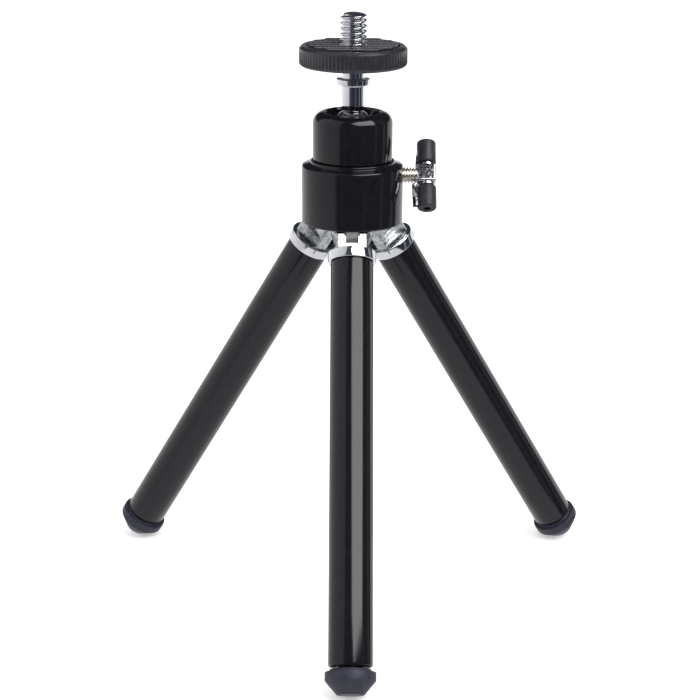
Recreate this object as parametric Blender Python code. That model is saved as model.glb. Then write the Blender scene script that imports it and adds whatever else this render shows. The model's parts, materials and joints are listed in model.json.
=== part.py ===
"""A table-top mini tripod with a ball head, a quarter-inch camera screw and three telescopic legs.

Units are metres and +Z is up. The origin is on the surface that the tripod stands on, at the
middle of its bounding box. The front leg points along -Y and the lock screw along +X. The head's
parts are placed by heights above the plane of the three leg hinges, and each leg's parts by the
distance from its hinge pin along the leg.
"""

import math

import bmesh
import bpy
from mathutils import Vector

# Driving dimensions
SPLAY = math.radians(32.5)  # each leg's lean from vertical, open against its stop
LEG_ANGLES = {"front": -90.0, "right": 30.0, "left": 150.0}  # degrees round the head from +X
PIN_CIRCLE = 0.0075  # distance of each hinge pin from the head's axis
TUBE_R = 0.0050
TUBE_WALL = 0.0005
TUBE_END = 0.1015  # the lower end of the outer tube, measured from the hinge pin
EXTENSION = 0.060  # how far the inner tube slides out
GAP = 0.0003  # between pieces that touch
RUNNING_GAP = 0.0001  # between a pin and its hole
BALL_GAP = 0.0002  # between the ball and its socket

# Leg fitting
BAND_R = 0.00568
BAND_TOP = 0.0053
BAND_BOTTOM = 0.0077
FORK_R = 0.0050
SLOT = 0.0036  # between the fork's two ears
LUG = 0.0029  # thickness of the hub's lug in that slot
KNUCKLE_R = 0.0021
EAR_EDGE = 0.0036  # half the width over the knuckles
WAIST = 0.0037  # half the width over the scooped sides of the fork
SCOOP_R = 0.0034
PIN_R = 0.0010
PLUG_END = 0.0130  # the fork's plug in the tube
FORK_TOP = 0.0006  # before the stop's cut
PIN_HALF = 0.0044

# Foot
NECK_R = 0.0047
FLANGE_R = 0.00575
FLANGE_TOP = TUBE_END + 0.00085
FLANGE_BOTTOM = FLANGE_TOP + 0.00235
FOOT_END = FLANGE_BOTTOM + 0.00275
FOOT_TIP_R = 0.00305

# Inner leg
INNER_R = 0.00345
INNER_WALL = 0.0005
BUSH_TOP = 0.0945
BUSH_BOTTOM = 0.1006
SLEEVE_LENGTH = 0.0050
SLEEVE_BOTTOM = BUSH_TOP - EXTENSION - GAP
SLEEVE_BORE = 0.0020
FOOT_PLUG = 0.0080  # how deep the foot is pushed in the inner tube

# Head, as radii and heights above the hinge plane
HOUSING_R = 0.01195
RIM_Z = 0.0008
SHOULDER_Z = 0.0139
SHOULDER_TOP = 0.0155
SHOULDER_R = 0.0099
SKIRT_R = 0.0106
HUB_R = 0.0103
HUB_BOTTOM = 0.0031
HUB_TOP = 0.0058
WEB_BOTTOM = 0.0061
WEB_TOP = 0.0083
BORE_R = 0.0059
SPIGOT_R = 0.0077
SPIGOT_TOP = 0.0200
COLLAR_R = 0.00937
COLLAR_BOTTOM = 0.0158
COLLAR_TOP = 0.0270
COLLAR_ROUND = 0.0020
MOUTH_R = 0.0068
BALL_R = 0.0053
BALL_Z = 0.0226
LIP_Z = 0.02495
STEM_R = 0.00265
STEM_SPIGOT_R = 0.0016  # pressed in the ball
STEM_SPIGOT_END = 0.0010
SCREW_HOLE_R = 0.0016  # for the hub screw
HUB_SCREW_HEAD_R = 0.0026
HUB_SCREW_R = 0.0014
PLUNGER_BOTTOM = 0.0090
PLUNGER_TOP = 0.0154
SEAT_TOP = 0.0201

# Platform and camera screw
STUD_FLANGE_R = 0.00395
STUD_FLANGE_Z = 0.0334
NECK_Z = 0.0349
STUD_NECK_R = 0.00255
DISC_R = 0.0126
DISC_BOTTOM = 0.0378
DISC_TOP = 0.0422
RECESS_R = 0.0109
RECESS_Z = 0.0410
PAD_R = 0.0106
PAD_TOP = 0.0429
SCREW_R = 0.00312  # 1/4"-20 UNC
SCREW_PITCH = 0.00127
SCREW_DEPTH = 0.00078
SCREW_TOP = 0.0502

# Lock screw, M4, and its T-handle
LOCK_Z = 0.0119
LOCK_R = 0.00195
LOCK_TIP = 0.0033
LOCK_POINT_R = 0.0004
HANDLE_X = 0.0175
HANDLE_TURN = math.radians(38.0)  # its lower end stands forward
HANDLE_HALF = 0.0087
HANDLE_HUB = (0.0044, 0.0044, 0.0046)
BAR_R = 0.0012
BAR_END = 0.0081
BAR_NECK_R = 0.0019
GRIP_R = 0.00227
GRIP_START = 0.0031
GRIP_ROUND = 0.0005
GRIP_END_HOLE_R = 0.0009
FIN_THICK = 0.0011
FIN_START = 0.0023
FINS = {"upper": (0.0027, 0.0064), "lower": (0.0036, 0.0080)}  # how far each fin stands out, and its end


def foot_reach(share):
    """How far the foot's flange reaches along a horizontal line that lies at acos(share) to the leg."""
    along = share * math.sin(SPLAY)
    return share * PIN_CIRCLE + FLANGE_BOTTOM * along + FLANGE_R * math.sqrt(1 - along**2)


HINGE_HEIGHT = FOOT_END * math.cos(SPLAY) + FOOT_TIP_R * math.sin(SPLAY)
AXIS_Y = (foot_reach(1.0) - foot_reach(0.5)) / 2  # the head stands behind the box's middle

# Steps of a full turn
ROUND_BIG = 36
ROUND_MEDIUM = 20
ROUND_SMALL = 14


def clear_scene():
    for obj in list(bpy.data.objects):
        bpy.data.objects.remove(obj, do_unlink=True)


def material(name, colour, roughness, metallic):
    made = bpy.data.materials.new(name)
    made.use_nodes = True
    shader = made.node_tree.nodes["Principled BSDF"]
    shader.inputs["Base Color"].default_value = (*colour, 1.0)
    shader.inputs["Roughness"].default_value = roughness
    shader.inputs["Metallic"].default_value = metallic
    made.diffuse_color = (*colour, 1.0)
    return made


def make_materials():
    return {
        "black_gloss": material("black_gloss", (0.012, 0.012, 0.015), 0.18, 0.0),
        "chrome": material("chrome", (0.78, 0.78, 0.80), 0.10, 1.0),
        "nickel": material("nickel", (0.70, 0.66, 0.61), 0.25, 1.0),
        "steel": material("steel", (0.55, 0.55, 0.56), 0.30, 1.0),
        "black_plastic": material("black_plastic", (0.025, 0.025, 0.028), 0.45, 0.0),
        "rubber": material("rubber", (0.030, 0.031, 0.040), 0.60, 0.0),
        "nylon": material("nylon", (0.62, 0.60, 0.54), 0.50, 0.0),
    }


def empty(name, location, rotation=(0.0, 0.0, 0.0), parent=None):
    frame = bpy.data.objects.new(name, None)
    frame.empty_display_size = 0.01
    frame.location = location
    frame.rotation_euler = rotation
    frame.parent = parent
    bpy.context.scene.collection.objects.link(frame)
    return frame


def object_from(bm, name, parent=None, look=None):
    """Turns a bmesh into a smooth-shaded object."""
    bmesh.ops.recalc_face_normals(bm, faces=bm.faces)
    mesh = bpy.data.meshes.new(name)
    bm.to_mesh(mesh)
    bm.free()
    mesh.shade_smooth()
    mesh.set_sharp_from_angle(angle=math.radians(35))
    obj = bpy.data.objects.new(name, mesh)
    obj.parent = parent
    if look:
        mesh.materials.append(look)
    bpy.context.scene.collection.objects.link(obj)
    return obj


def turned(name, outline, steps, parent=None, look=None):
    """Spins an outline of (radius, height) round Z. One that leaves the axis is closed into a ring."""
    bm = bmesh.new()
    points = [bm.verts.new((radius, 0.0, height)) for radius, height in outline]
    edges = [bm.edges.new(pair) for pair in zip(points, points[1:])]
    if outline[0][0] > 0 and outline[-1][0] > 0:
        edges.append(bm.edges.new((points[-1], points[0])))
    bmesh.ops.spin(
        bm, geom=points + edges, cent=(0, 0, 0), axis=(0, 0, 1), angle=2 * math.pi, steps=steps
    )
    bmesh.ops.remove_doubles(bm, verts=bm.verts, dist=1e-7)
    return object_from(bm, name, parent, look)


def arc(centre, radius, start, end, steps):
    """Points of (radius, height) on an arc, from start to end in degrees from the outward side."""
    points = []
    for i in range(steps + 1):
        angle = math.radians(start + (end - start) * i / steps)
        points.append((centre[0] + radius * math.cos(angle), centre[1] + radius * math.sin(angle)))
    return points


def block(name, size, centre, rotation=(0.0, 0.0, 0.0), parent=None, look=None, bevel=0.0):
    bm = bmesh.new()
    bmesh.ops.create_cube(bm, size=1.0)
    bmesh.ops.scale(bm, vec=size, verts=bm.verts)
    obj = object_from(bm, name, parent, look)
    obj.location = centre
    obj.rotation_euler = rotation
    if bevel:
        rounding = obj.modifiers.new("rounded_edges", "BEVEL")
        rounding.width = bevel
        rounding.segments = 2
    return obj


def extruded(name, outline, half_width, parent=None):
    """A flat outline of (y, z), extruded to both sides along X."""
    bm = bmesh.new()
    face = bm.faces.new([bm.verts.new((-half_width, y, z)) for y, z in outline])
    grown = bmesh.ops.extrude_face_region(bm, geom=[face])["geom"]
    moved = [v for v in grown if isinstance(v, bmesh.types.BMVert)]
    bmesh.ops.translate(bm, verts=moved, vec=(2 * half_width, 0, 0))
    return object_from(bm, name, parent)


def round_bar(name, radius, low, high, parent=None, look=None):
    """A plain round bar or cutter along Z, from low to high."""
    return turned(name, [(0, high), (radius, high), (radius, low), (0, low)], ROUND_SMALL, parent, look)


def lying(obj, centre, axis):
    """Lays a turned piece with its own Z along the given axis."""
    obj.location = centre
    obj.rotation_euler = Vector((0, 0, 1)).rotation_difference(Vector(axis)).to_euler()
    return obj


def combine(target, helper, operation):
    helper.hide_render = True
    helper.display_type = "WIRE"
    step = target.modifiers.new(f"{operation.lower()}_{helper.name}", "BOOLEAN")
    step.operation = operation
    step.object = helper


def threaded(top, bottom, radius, depth, pitch, chamfer):
    """The outline of a threaded shank, outer side top to bottom, with one ridge for each pitch."""
    outline = [(0.0, top), (radius - depth, top), (radius, top - chamfer)]
    crest = top - chamfer
    while crest - pitch > bottom:
        outline += [(radius - depth, crest - pitch / 2), (radius, crest - pitch)]
        crest -= pitch
    return outline


def add_housing(head, looks):
    """The lower housing: skirt round the hub, web, bore for the plunger, and the collar's spigot."""
    rim_edge = 0.0002
    draft = 0.0001  # the wall narrows by this much from the rim to the shoulder
    shoulder = [
        (SHOULDER_R + (HOUSING_R - draft - SHOULDER_R) * math.cos(math.radians(a)),
         SHOULDER_Z + (SHOULDER_TOP - SHOULDER_Z) * math.sin(math.radians(a)))
        for a in range(0, 91, 18)
    ]
    outline = [
        (SKIRT_R, RIM_Z),
        (HOUSING_R - rim_edge, RIM_Z),
        (HOUSING_R, RIM_Z + rim_edge),
        *shoulder,
        (SPIGOT_R, SHOULDER_TOP),
        (SPIGOT_R, SPIGOT_TOP),
        (BORE_R, SPIGOT_TOP),
        (BORE_R, WEB_TOP),
        (SCREW_HOLE_R, WEB_TOP),
        (SCREW_HOLE_R, WEB_BOTTOM),
        (SKIRT_R, WEB_BOTTOM),
    ]
    housing = turned("lower_housing", outline, ROUND_BIG, head, looks["black_gloss"])
    hole = round_bar("lock_screw_hole", LOCK_R + 0.0002, LOCK_TIP, HANDLE_X, head)
    lying(hole, (0, 0, LOCK_Z), (1, 0, 0))
    combine(housing, hole, "DIFFERENCE")


def add_collar(head, looks):
    """The socket collar screws on the spigot, and its spherical lip holds the ball down."""
    cavity_r = BALL_R + BALL_GAP
    edge = 0.0003
    low = math.degrees(math.asin(BALL_GAP / cavity_r))
    high = math.degrees(math.asin((LIP_Z - BALL_Z) / cavity_r))
    outline = [
        (SPIGOT_R + GAP, COLLAR_BOTTOM),
        (COLLAR_R - edge, COLLAR_BOTTOM),
        (COLLAR_R, COLLAR_BOTTOM + edge),
        *arc((COLLAR_R - COLLAR_ROUND, COLLAR_TOP - COLLAR_ROUND), COLLAR_ROUND, 0, 90, 5),
        (MOUTH_R, COLLAR_TOP - BALL_GAP),
        *reversed(arc((0, BALL_Z), cavity_r, low, high, 4)),
        (cavity_r, SPIGOT_TOP + GAP),
        (SPIGOT_R + GAP, SPIGOT_TOP + GAP),
    ]
    turned("socket_collar", outline, ROUND_BIG, head, looks["black_gloss"])


def add_hub(head, looks):
    """The hub's plate sits in the skirt, and its three lugs hang down between the forks."""
    hole_r = SCREW_HOLE_R + 0.0002
    plate = [(hole_r, HUB_BOTTOM), (HUB_R, HUB_BOTTOM), (HUB_R, HUB_TOP), (hole_r, HUB_TOP)]
    hub = turned("leg_hub", plate, ROUND_MEDIUM, head, looks["chrome"])
    lug_r = HUB_R - PIN_CIRCLE - 0.0001
    root = HUB_BOTTOM + 0.0010  # inside the plate
    for name, angle in LEG_ANGLES.items():
        frame = empty(f"lug_{name}_frame", (0, 0, 0), (0, 0, math.radians(angle) + math.pi / 2), head)
        outline = [(-PIN_CIRCLE + lug_r, root), (-PIN_CIRCLE - lug_r, root)]
        outline += arc((-PIN_CIRCLE, 0), lug_r, 180, 360, 10)
        lug = extruded(f"lug_{name}", outline, LUG / 2, frame)
        combine(hub, lug, "UNION")
    for name, angle in LEG_ANGLES.items():
        hole = round_bar(f"pin_hole_{name}", PIN_R + RUNNING_GAP, -LUG, LUG, head)
        turn = math.radians(angle)
        centre = (PIN_CIRCLE * math.cos(turn), PIN_CIRCLE * math.sin(turn), 0)
        lying(hole, centre, (-math.sin(turn), math.cos(turn), 0))
        combine(hub, hole, "DIFFERENCE")


def add_hub_screw(head, looks):
    """Holds the hub up against the housing's web."""
    head_top, head_bottom = HUB_BOTTOM - GAP, HUB_BOTTOM - 0.0019
    socket_r, socket_end = 0.0012, head_bottom + 0.0006
    edge = 0.0004
    shank_end = WEB_TOP - 0.0002
    outline = [
        (0, socket_end), (socket_r, socket_end), (socket_r, head_bottom),
        (HUB_SCREW_HEAD_R - edge, head_bottom), (HUB_SCREW_HEAD_R, head_bottom + edge),
        (HUB_SCREW_HEAD_R, head_top), (HUB_SCREW_R, head_top),
        (HUB_SCREW_R, shank_end), (0, shank_end),
    ]
    turned("hub_screw", outline, ROUND_SMALL, head, looks["steel"])


def add_clamp(head, looks):
    """The lock screw's cone lifts the plunger, which presses the seat and the ball into the collar."""
    plunger_r = BORE_R - GAP
    edge = 0.0004
    outline = [
        (0, PLUNGER_TOP), (plunger_r - edge, PLUNGER_TOP), (plunger_r, PLUNGER_TOP - edge),
        (plunger_r, PLUNGER_BOTTOM + edge), (plunger_r - edge, PLUNGER_BOTTOM), (0, PLUNGER_BOTTOM),
    ]
    plunger = turned("clamp_plunger", outline, ROUND_MEDIUM, head, looks["steel"])
    cone_gap = 0.00025
    wide = LOCK_R + cone_gap
    outer, point = BORE_R + 0.0020, LOCK_TIP - cone_gap / 2
    cone = [
        (0, outer), (wide, outer), (wide, LOCK_TIP + LOCK_R - LOCK_POINT_R),
        (LOCK_POINT_R + cone_gap, point), (0, point),
    ]
    hole = turned("cone_seat", cone, ROUND_SMALL, head)
    lying(hole, (0, 0, LOCK_Z), (1, 0, 0))
    combine(plunger, hole, "DIFFERENCE")
    drop = 0.0006  # the plunger comes down over the screw by a little less than this
    relief = round_bar("drop_relief", wide, LOCK_TIP + LOCK_R - LOCK_POINT_R, outer, head)
    lying(relief, (0, 0, LOCK_Z + drop), (1, 0, 0))
    combine(plunger, relief, "DIFFERENCE")

    seat_bottom = PLUNGER_TOP + GAP
    cup_r = BALL_R + BALL_GAP
    rim = math.degrees(math.asin((SEAT_TOP - BALL_Z) / cup_r))
    seat_outline = [
        *arc((0, BALL_Z), cup_r, -90, rim, 8),
        (plunger_r, SEAT_TOP), (plunger_r, seat_bottom), (0, seat_bottom),
    ]
    seat_outline[0] = (0, BALL_Z - cup_r)
    turned("ball_seat", seat_outline, ROUND_MEDIUM, head, looks["nylon"])


def add_ball_and_stud(head, looks):
    """The ball, and the stud pressed in it, which ends in the camera screw."""
    centre = empty("ball_centre", (0, 0, BALL_Z), parent=head)
    hole_r = STEM_SPIGOT_R + BALL_GAP
    hole_end = STEM_SPIGOT_END - GAP
    edge = math.degrees(math.acos(hole_r / BALL_R))
    outline = [(0, hole_end), (hole_r, hole_end), *arc((0, 0), BALL_R, edge, -90, 12)]
    outline[-1] = (0, -BALL_R)
    turned("ball", outline, ROUND_MEDIUM, centre, looks["chrome"])

    outline = threaded(SCREW_TOP, DISC_BOTTOM + 0.0008, SCREW_R, SCREW_DEPTH, SCREW_PITCH, 0.0006)
    edge = 0.0003
    stem_end = BALL_Z + math.sqrt(BALL_R**2 - STEM_R**2) + GAP
    outline += [
        (STUD_NECK_R, outline[-1][1] - (SCREW_R - STUD_NECK_R)),
        (STUD_NECK_R, NECK_Z),
        (STUD_FLANGE_R - edge, NECK_Z), (STUD_FLANGE_R, NECK_Z - edge),
        (STUD_FLANGE_R, STUD_FLANGE_Z + edge), (STUD_FLANGE_R - edge, STUD_FLANGE_Z),
        (STEM_R, STUD_FLANGE_Z),
        (STEM_R, stem_end), (STEM_SPIGOT_R, BALL_Z + BALL_R),
        (STEM_SPIGOT_R, BALL_Z + STEM_SPIGOT_END), (0, BALL_Z + STEM_SPIGOT_END),
    ]
    outline = [(radius, height - BALL_Z) for radius, height in outline]
    turned("stud", outline, ROUND_SMALL, centre, looks["chrome"])


def add_platform(head, looks):
    """The knurled disc is a ring on the camera screw, with a ribbed pad in its top."""
    centre = empty("platform_centre", (0, 0, BALL_Z), parent=head)
    hole_r = SCREW_R + GAP
    lower_round, upper_edge = 0.0009, 0.0003
    outline = [
        (hole_r, DISC_BOTTOM),
        *arc((DISC_R - lower_round, DISC_BOTTOM + lower_round), lower_round, -90, 0, 4),
        (DISC_R, DISC_TOP - upper_edge),
        (DISC_R - upper_edge, DISC_TOP),
        (RECESS_R, DISC_TOP + 0.0002),
        (RECESS_R, RECESS_Z),
        (hole_r, RECESS_Z),
    ]
    outline = [(radius, height - BALL_Z) for radius, height in outline]
    turned("platform_disc", outline, ROUND_BIG, centre, looks["black_plastic"])
    low, high = RECESS_Z + GAP - BALL_Z, PAD_TOP - BALL_Z
    pad = [
        (hole_r, low), (PAD_R, low), (PAD_R, high - upper_edge), (PAD_R - upper_edge, high), (hole_r, high),
    ]
    turned("platform_pad", pad, ROUND_BIG, centre, looks["rubber"])


def add_lock(head, looks):
    """The lock screw and its T-handle, a bar whose two ends carry grip sleeves, each with a fin beside it."""
    axis = empty("lock_axis", (0, 0, LOCK_Z), (0, math.pi / 2, 0), head)
    in_handle = HANDLE_X - 0.0012
    seated = HANDLE_X - 0.0022
    edge = 0.0003
    outline = [
        (0, in_handle), (LOCK_R - edge, in_handle), (LOCK_R - edge, seated),
        (LOCK_R, seated - edge), (LOCK_R, LOCK_TIP + LOCK_R - LOCK_POINT_R),
        (LOCK_POINT_R, LOCK_TIP), (0, LOCK_TIP),
    ]
    turned("lock_screw", outline, ROUND_SMALL, axis, looks["nickel"])

    handle_frame = empty("handle_frame", (HANDLE_X, 0, LOCK_Z), (-HANDLE_TURN, 0, 0), head)
    handle = block("lock_handle", HANDLE_HUB, (0, 0, 0), parent=handle_frame, look=looks["chrome"], bevel=0.0006)
    combine(handle, round_bar("handle_bar", BAR_R, -BAR_END, BAR_END, handle_frame), "UNION")
    neck_end = GRIP_START - GAP
    combine(handle, round_bar("handle_neck", BAR_NECK_R, -neck_end, neck_end, handle_frame), "UNION")
    socket_end = in_handle - HANDLE_X + GAP
    socket = round_bar("handle_socket", LOCK_R + 0.00015, -HANDLE_HUB[0], socket_end, handle_frame)
    lying(socket, (0, 0, 0), (1, 0, 0))
    combine(handle, socket, "DIFFERENCE")

    bore_r = BAR_R + 0.00025
    end_wall = BAR_END + 0.0002
    for name, turn in (("upper", 0), ("lower", math.pi)):
        frame = empty(f"grip_{name}_frame", (0, 0, 0), (turn, 0, 0), handle_frame)
        stands_out, fin_end = FINS[name]
        fin = block(
            f"fin_{name}", (stands_out, FIN_THICK, fin_end - FIN_START),
            (-stands_out / 2, 0, (FIN_START + fin_end) / 2),
            parent=frame,
        )
        combine(handle, fin, "UNION")
        outline = [
            (bore_r, GRIP_START), (GRIP_R - edge, GRIP_START), (GRIP_R, GRIP_START + edge),
            *arc((GRIP_R - GRIP_ROUND, HANDLE_HALF - GRIP_ROUND), GRIP_ROUND, 0, 90, 4),
            (GRIP_END_HOLE_R, HANDLE_HALF), (GRIP_END_HOLE_R, end_wall), (bore_r, end_wall),
        ]
        grip = turned(f"grip_{name}", outline, ROUND_SMALL, frame, looks["black_plastic"])
        slot_start, slot_end = GRIP_START - 0.0010, fin_end + 0.00025
        slot = block(
            f"grip_slot_{name}", (0.0040, FIN_THICK + 0.0005, slot_end - slot_start),
            (-0.0020, 0, (slot_start + slot_end) / 2), parent=frame,
        )
        combine(grip, slot, "DIFFERENCE")


def add_fork(name, frame, looks):
    """A slotted fork with a round band, a plug in the tube, scooped sides and a knuckle round the pin."""
    edge = 0.0002
    plug_r = TUBE_R - TUBE_WALL - edge
    outline = [
        (0, FORK_TOP), (FORK_R, FORK_TOP), (FORK_R, -BAND_TOP),
        (BAND_R - edge, -BAND_TOP), (BAND_R, -BAND_TOP - edge),
        (BAND_R, -BAND_BOTTOM + edge), (BAND_R - edge, -BAND_BOTTOM),
        (plug_r, -BAND_BOTTOM), (plug_r, -PLUG_END), (0, -PLUG_END),
    ]
    fork = turned(f"leg_fork_{name}", outline, ROUND_MEDIUM, frame, looks["chrome"])

    # The open leg's stop: a cut that lies flat under the housing's rim.
    stop_height = 0.010
    lift = stop_height / 2 + RIM_Z - GAP
    stop_centre = (lift * math.sin(SPLAY), 0, lift * math.cos(SPLAY))
    stop = block(f"stop_cut_{name}", (0.03, 0.03, stop_height), stop_centre, (0, SPLAY, 0), frame)
    combine(fork, stop, "DIFFERENCE")

    for side in (-1, 1):
        ends = sorted((side * (SLOT / 2 - edge), side * EAR_EDGE))
        knuckle = round_bar(f"knuckle_{name}_{side + 1}", KNUCKLE_R, *ends, frame)
        lying(knuckle, (0, 0, 0), (0, 1, 0))
        combine(fork, knuckle, "UNION")
        outside = side * 2 * FORK_R
        scoop = [(outside, -BAND_TOP), (side * WAIST, -BAND_TOP)]
        scoop += [
            (side * (WAIST + SCOOP_R * (1 - math.cos(math.radians(a)))),
             -BAND_TOP + 0.0009 + SCOOP_R * math.sin(math.radians(a)))
            for a in range(0, 61, 12)
        ]
        scoop.append((outside, scoop[-1][1]))
        cutter = extruded(f"scoop_{name}_{side + 1}", scoop, 2 * FORK_R, frame)
        combine(fork, cutter, "DIFFERENCE")

    slot_bottom = -BAND_TOP + 0.0004
    slot_height = 0.010
    slot_size, slot_centre = (0.03, SLOT, slot_height), (0, 0, slot_bottom + slot_height / 2)
    combine(fork, block(f"fork_slot_{name}", slot_size, slot_centre, parent=frame), "DIFFERENCE")
    hole = round_bar(f"fork_pin_hole_{name}", PIN_R + RUNNING_GAP, -2 * PIN_HALF, 2 * PIN_HALF, frame)
    lying(hole, (0, 0, 0), (0, 1, 0))
    combine(fork, hole, "DIFFERENCE")

    pin = round_bar(f"hinge_pin_{name}", PIN_R, -PIN_HALF, PIN_HALF, frame, looks["steel"])
    lying(pin, (0, 0, 0), (0, 1, 0))


def add_outer_tube(name, frame, looks):
    """The enamelled tube with its rolled-in mouth, and the bush that guides the inner tube there."""
    bore = TUBE_R - TUBE_WALL
    top = BAND_BOTTOM + 0.0002
    lip_round, lip_thick = 0.0006, 0.0005
    outline = [
        (bore, -top), (TUBE_R, -top), (TUBE_R, -TUBE_END + lip_round),
        *arc((TUBE_R - lip_round, -TUBE_END + lip_round), lip_round, -30, -90, 2),
        (INNER_R + GAP, -TUBE_END), (INNER_R + GAP, -TUBE_END + lip_thick), (bore, -TUBE_END + lip_thick),
    ]
    turned(f"outer_tube_{name}", outline, ROUND_MEDIUM, frame, looks["black_gloss"])
    inside, outside = INNER_R + 0.00015, bore - 0.0002
    bush = [(inside, -BUSH_TOP), (outside, -BUSH_TOP), (outside, -BUSH_BOTTOM), (inside, -BUSH_BOTTOM)]
    turned(f"guide_bush_{name}", bush, ROUND_MEDIUM, frame, looks["black_plastic"])


def add_inner_leg(name, frame, looks):
    """The sliding stage: inner tube, the friction sleeve at its top and the foot at its end."""
    bore = INNER_R - INNER_WALL
    sleeve_top = -SLEEVE_BOTTOM + SLEEVE_LENGTH
    top = sleeve_top - 0.0010
    inner = [(bore, top), (INNER_R, top), (INNER_R, -TUBE_END), (bore, -TUBE_END)]
    turned(f"inner_tube_{name}", inner, ROUND_MEDIUM, frame, looks["chrome"])

    sleeve_r = TUBE_R - TUBE_WALL - 0.00015
    edge = 0.0003
    lined_r = INNER_R + 0.0002
    sleeve = [
        (SLEEVE_BORE, sleeve_top), (sleeve_r - edge, sleeve_top), (sleeve_r, sleeve_top - edge),
        (sleeve_r, -SLEEVE_BOTTOM), (lined_r, -SLEEVE_BOTTOM), (lined_r, top + GAP), (SLEEVE_BORE, top + GAP),
    ]
    turned(f"friction_sleeve_{name}", sleeve, ROUND_MEDIUM, frame, looks["nylon"])

    plug_r, plug_top = bore - 0.0002, -TUBE_END + FOOT_PLUG
    neck_top = -TUBE_END - GAP
    edge = 0.00025
    foot = [
        (0, plug_top), (plug_r, plug_top), (plug_r, neck_top), (NECK_R, neck_top), (NECK_R, -FLANGE_TOP),
        (FLANGE_R - edge, -FLANGE_TOP), (FLANGE_R, -FLANGE_TOP - edge),
        (FLANGE_R, -FLANGE_BOTTOM + edge), (FLANGE_R - edge, -FLANGE_BOTTOM),
        (FOOT_TIP_R, -FOOT_END), (0, -FOOT_END),
    ]
    turned(f"foot_{name}", foot, ROUND_MEDIUM, frame, looks["rubber"])


def add_leg(name, angle, head, looks):
    """One leg in its own frame: origin on the hinge pin, Z up the leg, X outward and Y along the pin."""
    turn = math.radians(angle)
    centre = (PIN_CIRCLE * math.cos(turn), PIN_CIRCLE * math.sin(turn), 0)
    frame = empty(f"leg_{name}", centre, (0, -SPLAY, turn), head)
    add_fork(name, frame, looks)
    add_outer_tube(name, frame, looks)
    add_inner_leg(name, frame, looks)


def main():
    clear_scene()
    looks = make_materials()
    head = empty("head_axis", (0, AXIS_Y, HINGE_HEIGHT))
    add_housing(head, looks)
    add_collar(head, looks)
    add_hub(head, looks)
    add_hub_screw(head, looks)
    add_clamp(head, looks)
    add_ball_and_stud(head, looks)
    add_platform(head, looks)
    add_lock(head, looks)
    for name, angle in LEG_ANGLES.items():
        add_leg(name, angle, head, looks)


main()
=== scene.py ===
"""The looks of a table-top mini tripod with a ball head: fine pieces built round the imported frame.

Lengths are millimetres in each piece's own axes, and a piece is then laid in a place, which is a
matrix in metres worked out from the frame's joints and boxes. The head's place has its Z up the
head's axis from the plane of the leg hinges. A leg's place has its origin on the hinge pin, with Z
up the leg, X outward and Y along the pin. The handle's place has its Z along the T-handle's bar.
"""

import json
import math

import bmesh
import bpy
import numpy as np
from mathutils import Matrix, Vector


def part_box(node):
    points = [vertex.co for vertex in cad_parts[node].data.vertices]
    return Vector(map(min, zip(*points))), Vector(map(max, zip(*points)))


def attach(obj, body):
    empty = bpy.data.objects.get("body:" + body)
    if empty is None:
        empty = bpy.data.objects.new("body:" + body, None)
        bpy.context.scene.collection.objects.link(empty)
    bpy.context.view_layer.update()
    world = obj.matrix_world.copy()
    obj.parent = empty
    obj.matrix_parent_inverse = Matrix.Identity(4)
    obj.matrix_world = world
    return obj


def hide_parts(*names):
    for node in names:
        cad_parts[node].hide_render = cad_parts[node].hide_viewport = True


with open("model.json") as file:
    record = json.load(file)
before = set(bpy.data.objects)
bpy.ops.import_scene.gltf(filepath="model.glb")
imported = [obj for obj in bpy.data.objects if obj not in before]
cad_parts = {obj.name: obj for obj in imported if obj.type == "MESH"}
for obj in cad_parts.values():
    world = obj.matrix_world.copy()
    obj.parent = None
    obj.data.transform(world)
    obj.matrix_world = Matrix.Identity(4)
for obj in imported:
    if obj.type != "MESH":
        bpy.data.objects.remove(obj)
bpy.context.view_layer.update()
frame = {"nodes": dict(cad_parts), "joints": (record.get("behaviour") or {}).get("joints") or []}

MM = 0.001
LEGS = ("front", "right", "left")

# Fineness: steps of a full turn, and of a rounded corner
FINE = 160
MEDIUM = 96
THREAD = 64
SMALL = 48
CORNER_STEPS = 5

# Details that the frame's plain solids leave out, in millimetres
FLUTES = 84
FLUTE_DEPTH = 0.22
PAD_RIDGE_PITCH = 2.9
PAD_RIDGE_HEIGHT = 0.75
SCREW_PITCH = 1.27  # 1/4"-20
SCREW_DEPTH = 0.72
LOCK_PITCH = 0.70  # M4
LOCK_DEPTH = 0.40
SCREW_HOLE_R = 3.42  # the camera screw's hole in the disc and the pad
FIN_ENDS = {"upper": 6.4, "lower": 8.0}  # how far along the bar the handle's fins reach
SLEEVE_BORE = 1.45
PIN_HOLE_R = 1.1
FORK_EDGE = 0.14
LEG_SPLIT = 0.2  # the fine line between a band and its tube


# ---------------------------------------------------------------- places and sizes from the frame


def joint(name):
    return next(j for j in frame["joints"] if j["name"] == name)


def place_of(origin, x_axis, y_axis, z_axis):
    """A matrix whose columns are the three axes, at the origin."""
    place = Matrix.Identity(4)
    for column, axis in enumerate((x_axis, y_axis, z_axis)):
        place.col[column] = Vector(axis).normalized().to_4d()
        place.col[column][3] = 0.0
    place.translation = Vector(origin)
    return place


def leg_place(name):
    fold, extend = joint(f"leg_{name}_fold"), joint(f"leg_{name}_extend")
    up, pin = -Vector(extend["axis"]), Vector(fold["axis"])
    return place_of(fold["pos_m"], pin.cross(up), pin, up)


def head_place():
    ball = joint("ball_pan")["pos_m"]
    hinge_height = joint("leg_front_fold")["pos_m"][2]
    return Matrix.Translation((ball[0], ball[1], hinge_height))


def middle(node):
    low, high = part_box(node)
    return (low + high) / 2


def handle_place():
    bar = middle("grip_upper") - middle("grip_lower")
    bar.x = 0.0
    return place_of(joint("lock_handle_turn")["pos_m"], (1, 0, 0), bar.cross(Vector((1, 0, 0))), bar)


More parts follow.
